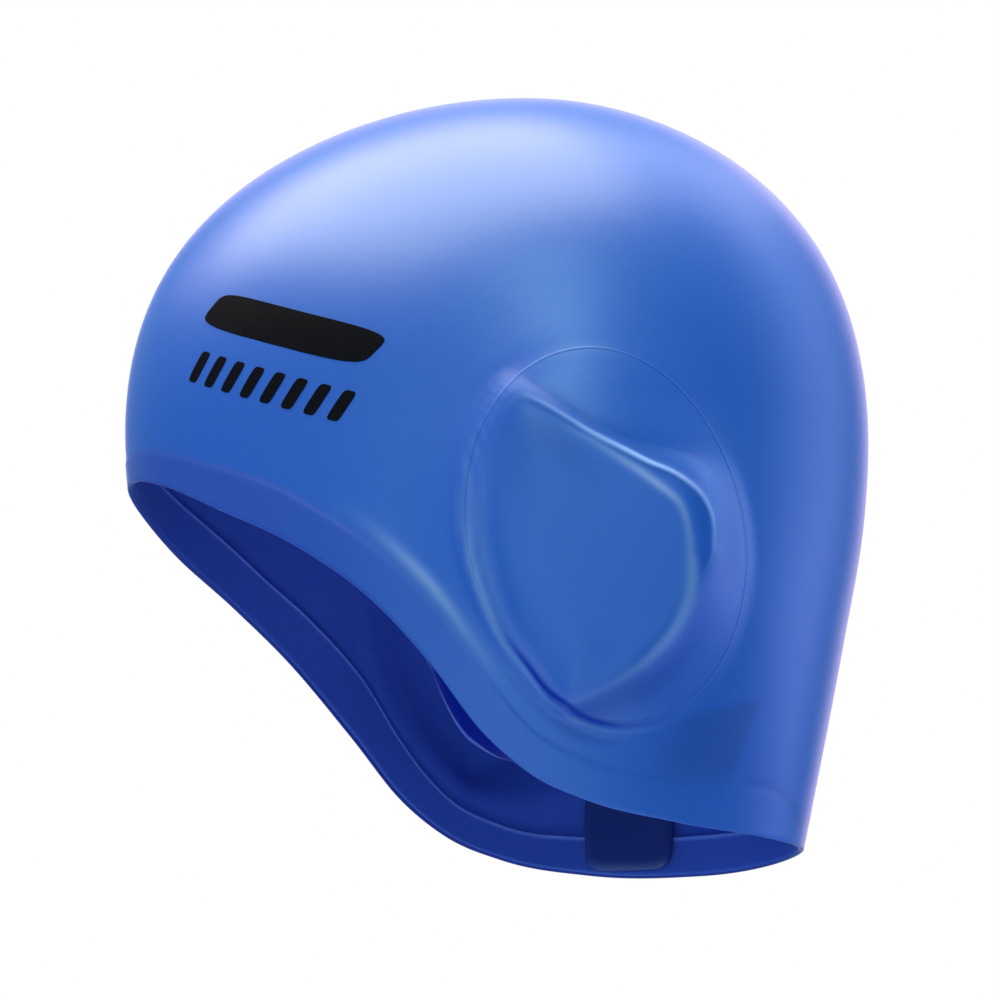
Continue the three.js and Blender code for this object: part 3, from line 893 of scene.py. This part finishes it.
def makeMark(name, middle, half, slant):
    # slanted superellipse slab: rings from its middle to its edge outside, and back to it beneath
    turn = np.arange(sidePrint["ringPoints"]) / sidePrint["ringPoints"] * 2 * np.pi
    x, y = squarish(turn, half[0], half[1], sidePrint["corner"])
    x = x + slant * y
    even = np.arange(1, sidePrint["rings"]) / sidePrint["rings"]
    shares = np.append(even, [sidePrint["edgeBand"], 1])

    def ring(share, inward):
        # the outline at this share of its size
        return printPoint(middle[0] + x * share, middle[1] + y * share, inward)
    rings = [ring(share, -sidePrint["proud"]) for share in shares]
    rings += [ring(share, sidePrint["buried"]) for share in shares[::-1]]
    first = printPoint(middle[0], middle[1], -sidePrint["proud"])
    last = printPoint(middle[0], middle[1], sidePrint["buried"])
    return loftRings(name, first, rings, last)


def makePrint():
    # one bar over a row of evenly spaced dashes
    marks = [makeMark("print_bar", sidePrint["barMiddle"], sidePrint["barHalf"], sidePrint["barSlant"])]
    for i in range(sidePrint["dashes"]):
        across = (i - (sidePrint["dashes"] - 1) / 2) * sidePrint["dashStep"]
        marks.append(makeMark("print_dash_%d" % (i + 1), (across, sidePrint["dashMiddle"]),
                              sidePrint["dashHalf"], sidePrint["dashSlant"]))
    return marks


# materials

siliconeLook = {
    "colour": (0.022, 0.108, 0.47, 1),
    "deepColour": (0.017, 0.092, 0.43, 1),
    # the inside's tone, paler and more violet than the outside's, is painted light for the light that
    # comes in through the wall
    "innerColour": (0.070, 0.125, 0.54, 1),
    # painted highlight where the wall bends
    "paintedHighlightColour": (0.15, 0.26, 0.52, 1),
    # painted highlight along the crest line
    "crestHighlightColour": (0.42, 0.60, 1.0, 1),
    # painted shade in the creases, hollows and corners and along the fine lines
    "paintedShadeColour": (0.0, 0.062, 0.36, 1),
    # painted shade in the groove along the foot
    "grooveShadeColour": (0.0, 0.026, 0.32, 1),
    "hemColour": (0.020, 0.066, 0.37, 1),
    # painted highlight along the inner hem's bead and along the tuck's lower edge
    "lineHighlightColour": (0.22, 0.28, 0.75, 1),
    # painted shade under the tuck and along the rim's lip
    "tuckShadeColour": (0.0, 0.004, 0.18, 1),
    "padColour": (0.018, 0.054, 0.27, 1),
    "padShows": 0.54,
    "glossTint": (0.50, 0.72, 1.0, 1),
    "glossInShade": (0.02, 0.06, 0.25, 1),     # painted shade on the reflection in the groove, under the tuck where little light gets in, and about the foot line under the front corner
    "driftScale": 14.0,
    "driftDetail": 2.0,
    "grainScale": 1500.0,
    "grainDetail": 3.0,
    "grainStrength": 0.5,
    "grainDepth": 0.00005,      # metres, like the height of the raised line on the foot
    "footLineStrength": 0.8,
    "footLineHeight": 0.0001,
    # half widths of the fine lines in millimetres
    "footLine": 0.45,
    "crestLine": 1.15,
    "creaseLine": 1.0,
    "grooveLine": 1.1,
    "grooveHighlightBeyond": 1.5,      # a painted highlight line this far outside the groove, its half width and share
    "grooveHighlightLine": 0.6,
    "grooveHighlightShare": 0.5,
    "secondLine": 1.1,
    "shader": {
        "Roughness": 0.38,
        "Specular IOR Level": 1.0,
        "IOR": 1.55,
        "Sheen Weight": 0.17,
        "Sheen Roughness": 0.35,
        "Sheen Tint": (0.65, 0.72, 1.0, 1),
        "Subsurface Weight": 0.25,
        "Subsurface Radius": (0.25, 0.5, 1.0),
        "Subsurface Scale": 0.0012,
    },
}


def newMaterial(name, look):
    # one Principled shader, with the look's plain values on its sockets
    material = bpy.data.materials.new(name)
    material.use_nodes = True
    tree = material.node_tree
    shader = tree.nodes["Principled BSDF"]
    for socket, value in look["shader"].items():
        shader.inputs[socket].default_value = value
    return material, tree, shader


def readValue(tree, name):
    # a value that the mesh holds at each point
    node = tree.nodes.new("ShaderNodeAttribute")
    node.attribute_name = name
    return node.outputs["Fac"]


def calculate(tree, operation, first, second=0.0):
    # one step of maths on a socket, with another socket or a number
    node = tree.nodes.new("ShaderNodeMath")
    node.operation = operation
    tree.links.new(first, node.inputs[0])
    if isinstance(second, float):
        node.inputs[1].default_value = second
    else:
        tree.links.new(second, node.inputs[1])
    return node.outputs[0]


def mixColour(tree, share, first, second):
    # first where share is 0, the fixed colour second where it is 1; first is a colour or a socket
    node = tree.nodes.new("ShaderNodeMix")
    node.data_type = "RGBA"
    if isinstance(first, tuple):
        node.inputs["A"].default_value = first
    else:
        tree.links.new(first, node.inputs["A"])
    node.inputs["B"].default_value = second
    tree.links.new(share, node.inputs["Factor"])
    return node.outputs["Result"]


def noiseOn(tree, scale, detail):
    # noise that stays with the piece
    coords = tree.nodes.new("ShaderNodeTexCoord")
    noise = tree.nodes.new("ShaderNodeTexNoise")
    noise.inputs["Scale"].default_value = scale
    noise.inputs["Detail"].default_value = detail
    tree.links.new(coords.outputs["Object"], noise.inputs["Vector"])
    return noise.outputs["Fac"]


def bumpFrom(tree, height, strength, depth, under=None):
    # normal raised by a height, on top of another normal when there is one
    bump = tree.nodes.new("ShaderNodeBump")
    bump.inputs["Strength"].default_value = strength
    bump.inputs["Distance"].default_value = depth
    tree.links.new(height, bump.inputs["Height"])
    if under:
        tree.links.new(under, bump.inputs["Normal"])
    return bump.outputs["Normal"]


def lineShare(tree, name, width, beyond=0.0):
    # smooth fall from 1 on the line, or so far beyond it, to 0 at its half width
    away = calculate(tree, "SUBTRACT", readValue(tree, name + "Away"), beyond)
    fall = tree.nodes.new("ShaderNodeMapRange")
    fall.interpolation_type = "SMOOTHSTEP"
    fall.inputs["From Max"].default_value = width
    fall.inputs["To Min"].default_value = 1.0
    fall.inputs["To Max"].default_value = 0.0
    tree.links.new(calculate(tree, "ABSOLUTE", away), fall.inputs["Value"])
    return fall.outputs["Result"]


def lineShows(tree, name, width, beyond=0.0):
    # the same times the line's own share at each point
    line = lineShare(tree, name, width, beyond)
    return calculate(tree, "MULTIPLY", line, readValue(tree, name + "Shows"))


def siliconeMaterial(look):
    # even blue with a slow drift in tone, painted highlights and painted shade about the bends and fine
    # lines, fine grain in the bump and a thin raised line on the foot
    material, tree, shader = newMaterial("satin_silicone", look)
    drift = noiseOn(tree, look["driftScale"], look["driftDetail"])
    grain = noiseOn(tree, look["grainScale"], look["grainDetail"])
    # the groove's painted shade, and a painted highlight line along its lower lip
    groove = lineShows(tree, "groove", look["grooveLine"])
    edge = lineShows(tree, "groove", look["grooveHighlightLine"], look["grooveHighlightBeyond"])
    footShade = lineShows(tree, "foot", look["footLine"])
    footLine = lineShare(tree, "foot", look["footLine"])
    footRaised = calculate(tree, "MULTIPLY", footLine, readValue(tree, "footRaised"))
    tucked = readValue(tree, "tucked")
    padShare = calculate(tree, "MULTIPLY", readValue(tree, "padBehind"), look["padShows"])
    grooveLipHighlight = calculate(tree, "MULTIPLY", edge, look["grooveHighlightShare"])

    # one tone over the other, in this order: painted highlights, painted shade, the hem's tone, the
    # inside's painted light, the tuck's painted shade, the painted highlight line, the pad behind and
    # the painted shade on the foot line
    colour = mixColour(tree, drift, look["colour"], look["deepColour"])
    for share, tint in ((readValue(tree, "paintedHighlight"), look["paintedHighlightColour"]),
                        (lineShows(tree, "crest", look["crestLine"]), look["crestHighlightColour"]),
                        (grooveLipHighlight, look["paintedHighlightColour"]),
                        (readValue(tree, "paintedShade"), look["paintedShadeColour"]),
                        (lineShows(tree, "crease", look["creaseLine"]), look["paintedShadeColour"]),
                        (lineShows(tree, "second", look["secondLine"]), look["paintedShadeColour"]),
                        (groove, look["grooveShadeColour"]),
                        (readValue(tree, "hemTone"), look["hemColour"]),
                        (readValue(tree, "inside"), look["innerColour"]),
                        (tucked, look["tuckShadeColour"]),
                        (readValue(tree, "lineHighlight"), look["lineHighlightColour"]),
                        (padShare, look["padColour"]),
                        (footShade, look["paintedShadeColour"])):
        colour = mixColour(tree, share, colour, tint)
    # painted shade on the reflection in the groove, under the tuck and about the foot line under the
    # front corner
    gloss = look["glossTint"]
    for share in (tucked, groove, readValue(tree, "reflectionShade")):
        gloss = mixColour(tree, share, gloss, look["glossInShade"])
    normal = bumpFrom(tree, grain, look["grainStrength"], look["grainDepth"])
    normal = bumpFrom(tree, footRaised, look["footLineStrength"], look["footLineHeight"], normal)
    tree.links.new(colour, shader.inputs["Base Color"])
    tree.links.new(gloss, shader.inputs["Specular Tint"])
    tree.links.new(normal, shader.inputs["Normal"])
    return material


padLook = {
    "dark": (0.020, 0.034, 0.18, 1),
    "light": (0.028, 0.046, 0.22, 1),
    "grainScale": 1800.0,
    "grainDetail": 2.0,
    "grainStrength": 0.3,
    "grainDepth": 0.00003,
    "shader": {"Roughness": 0.5},
}


def padMaterial(look):
    # navy silicone with a fine grain in its tone and in its bump
    material, tree, shader = newMaterial("navy_silicone", look)
    grain = noiseOn(tree, look["grainScale"], look["grainDetail"])
    tree.links.new(mixColour(tree, grain, look["dark"], look["light"]), shader.inputs["Base Color"])
    tree.links.new(bumpFrom(tree, grain, look["grainStrength"], look["grainDepth"]),
                   shader.inputs["Normal"])
    return material


inkLook = {
    "dark": (0.0015, 0.0018, 0.003, 1),
    "light": (0.003, 0.0035, 0.006, 1),
    "driftScale": 90.0,
    "driftDetail": 2.0,
    "shader": {"Roughness": 0.6, "Specular IOR Level": 0.06},
}


def inkMaterial(look):
    # matt black ink, a touch uneven
    material, tree, shader = newMaterial("black_print_ink", look)
    drift = noiseOn(tree, look["driftScale"], look["driftDetail"])
    tree.links.new(mixColour(tree, drift, look["dark"], look["light"]), shader.inputs["Base Color"])
    return material


def dress(piece, material, node):
    # one material, the body that carries the piece, and the solid that it stands for
    piece.data.materials.clear()
    piece.data.materials.append(material)
    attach(piece, "root")
    if node:
        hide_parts(node)


dress(makeShell(), siliconeMaterial(siliconeLook), "cap_shell")
print("shell made")
navy = padMaterial(padLook)
dress(makePad(1, "left_pull_pad"), navy, "pull_pad_left")
dress(makePad(-1, "right_pull_pad"), navy, "pull_pad_right")
print("pull pads made")
ink = inkMaterial(inkLook)
for mark in makePrint():
    dress(mark, ink, None)
print("print made")
